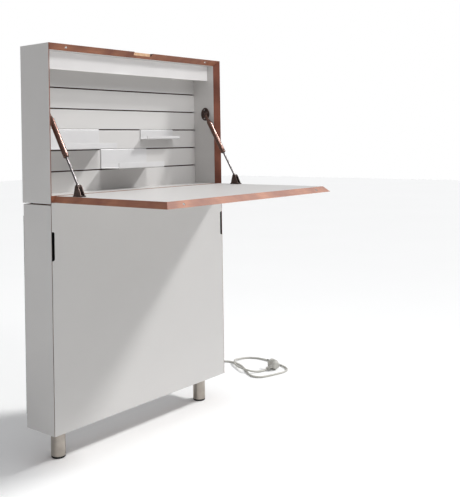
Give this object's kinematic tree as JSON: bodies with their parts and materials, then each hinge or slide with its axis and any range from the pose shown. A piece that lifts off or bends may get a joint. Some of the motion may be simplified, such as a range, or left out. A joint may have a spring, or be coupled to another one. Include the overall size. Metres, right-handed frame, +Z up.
{
  "type": "secretary desk",
  "caption": "Slim wall secretary desk: shallow carcass with a drop-down writing flap on gas struts, hook-in trays and a strip lamp, over a cabinet with side doors and legs; mains cord.",
  "frame": {"origin": "on the floor, under the middle of the box of the desk with its flap open", "axes": "+X to the right seen from the front, +Y towards the wall, +Z up"},
  "size_m": [1.1692, 0.7049, 1.12],
  "materials": {
    "white_laminate": "white laminate faces on board with brown edges and a brown core",
    "white_powder_coat": "satin white",
    "bronze_lacquer": "dark bronze lacquer, slightly glossy",
    "zinc_plated_steel": "satin",
    "plug_pin_nickel": "nickel-plated",
    "satin_steel": "satin nickel",
    "anodised_aluminium": "satin anodised",
    "lamp_diffuser": "opal",
    "white_plastic": "smooth",
    "grey_cord_pvc": "smooth soft sheath",
    "grey_plug_plastic": "fine matt",
    "bright_nickel": "bright",
    "black_rubber": "matt"
  },
  "bodies": {
    "carcass": {"top_panel": "white_laminate", "side_panel_left": "white_laminate", "side_panel_right": "white_laminate", "floor_panel": "white_laminate", "back_panel": "white_laminate", "light_valance": "white_laminate", "lamp_housing": "anodised_aluminium", "lamp_diffuser": "lamp_diffuser", "socket_unit": "white_plastic", "catch_magnet_left": "bright_nickel", "catch_magnet_right": "bright_nickel", "strut_wall_bracket_left": "bronze_lacquer", "strut_wall_bracket_right": "bronze_lacquer", "hanger_plate_left": "zinc_plated_steel", "hanger_plate_right": "zinc_plated_steel", "flap_hinge_fixed_leaf": "zinc_plated_steel", "flap_hinge_pin": "zinc_plated_steel", "front_panel": "white_laminate", "cabinet_top_panel": "white_laminate", "cabinet_bottom_panel": "white_laminate", "cabinet_back_panel": "white_laminate", "centre_divider": "white_laminate", "shelf_left": "white_laminate", "shelf_right": "white_laminate", "rear_stile_left": "white_laminate", "rear_stile_right": "white_laminate", "door_magnet_left": "white_plastic", "door_magnet_right": "white_plastic", "door_hinge_fixed_leaf_left": "zinc_plated_steel", "door_hinge_fixed_leaf_right": "zinc_plated_steel", "door_hinge_pin_left": "zinc_plated_steel", "door_hinge_pin_right": "zinc_plated_steel", "leg_left": "satin_steel", "leg_right": "satin_steel", "leg_pad_left": "black_rubber", "leg_pad_right": "black_rubber", "internal_lead": "grey_cord_pvc", "cord_gland": "grey_plug_plastic", "power_cord": "grey_cord_pvc", "plug_body": "grey_plug_plastic", "plug_pin_a": "plug_pin_nickel", "plug_pin_b": "plug_pin_nickel"},
    "flap": {"flap_panel": "white_laminate", "flap_hinge_moving_leaf": "zinc_plated_steel", "strike_plate_left": "bright_nickel", "strike_plate_right": "bright_nickel", "strut_flap_bracket_left": "bronze_lacquer", "strut_flap_bracket_right": "bronze_lacquer"},
    "left_strut_cylinder": {"strut_cylinder_left": "bronze_lacquer"},
    "left_strut_rod": {"strut_rod_left": "zinc_plated_steel"},
    "right_strut_cylinder": {"strut_cylinder_right": "bronze_lacquer"},
    "right_strut_rod": {"strut_rod_right": "zinc_plated_steel"},
    "left_door": {"side_door_left": "white_laminate", "door_hinge_moving_leaf_left": "zinc_plated_steel"},
    "right_door": {"side_door_right": "white_laminate", "door_hinge_moving_leaf_right": "zinc_plated_steel"},
    "phone_tray": {"phone_tray": "white_powder_coat"},
    "pen_tray": {"pen_tray": "white_powder_coat"},
    "letter_ledge": {"letter_ledge": "white_powder_coat"}
  },
  "joints": [
    {"name": "flap_hinge", "type": "hinge", "parent": "carcass", "child": "flap", "pos_m": [0, 0.1496, 0.7035], "axis": [-1, 0, 0], "range_deg": [0, 90]},
    {"name": "left_strut_swing", "type": "hinge", "parent": "carcass", "child": "left_strut_cylinder", "pos_m": [-0.332, 0.1891, 0.946], "axis": [1, 0, 0], "range_deg": [0, 29.94]},
    {"name": "left_strut_stroke", "type": "slide", "parent": "left_strut_cylinder", "child": "left_strut_rod", "axis": [0, -0.5083, -0.8612], "range_m": [-0.07723, 0]},
    {"name": "right_strut_swing", "type": "hinge", "parent": "carcass", "child": "right_strut_cylinder", "pos_m": [0.332, 0.1891, 0.946], "axis": [1, 0, 0], "range_deg": [0, 29.94]},
    {"name": "right_strut_stroke", "type": "slide", "parent": "right_strut_cylinder", "child": "right_strut_rod", "axis": [0, -0.5083, -0.8612], "range_m": [-0.07723, 0]},
    {"name": "left_door_hinge", "type": "hinge", "parent": "carcass", "child": "left_door", "pos_m": [-0.3575, 0.2636, 0.39], "axis": [0, 0, -1], "range_deg": [0, 90]},
    {"name": "right_door_hinge", "type": "hinge", "parent": "carcass", "child": "right_door", "pos_m": [0.3575, 0.2636, 0.39], "axis": [0, 0, 1], "range_deg": [0, 90]},
    {"name": "phone_tray_slide", "type": "slide", "parent": "carcass", "child": "phone_tray", "axis": [1, 0, 0], "range_m": [-0.03, 0.15]},
    {"name": "pen_tray_slide", "type": "slide", "parent": "carcass", "child": "pen_tray", "axis": [1, 0, 0], "range_m": [-0.2, 0.2]},
    {"name": "letter_ledge_slide", "type": "slide", "parent": "carcass", "child": "letter_ledge", "axis": [1, 0, 0], "range_m": [-0.01, 0.09]}
  ],
  "couplings": [
    {"joint": "left_strut_swing", "follows": "flap_hinge", "ratio": 0.33155},
    {"joint": "left_strut_stroke", "follows": "flap_hinge", "m_per_rad": -0.049041},
    {"joint": "right_strut_swing", "follows": "flap_hinge", "ratio": 0.33155},
    {"joint": "right_strut_stroke", "follows": "flap_hinge", "m_per_rad": -0.049041}
  ]
}
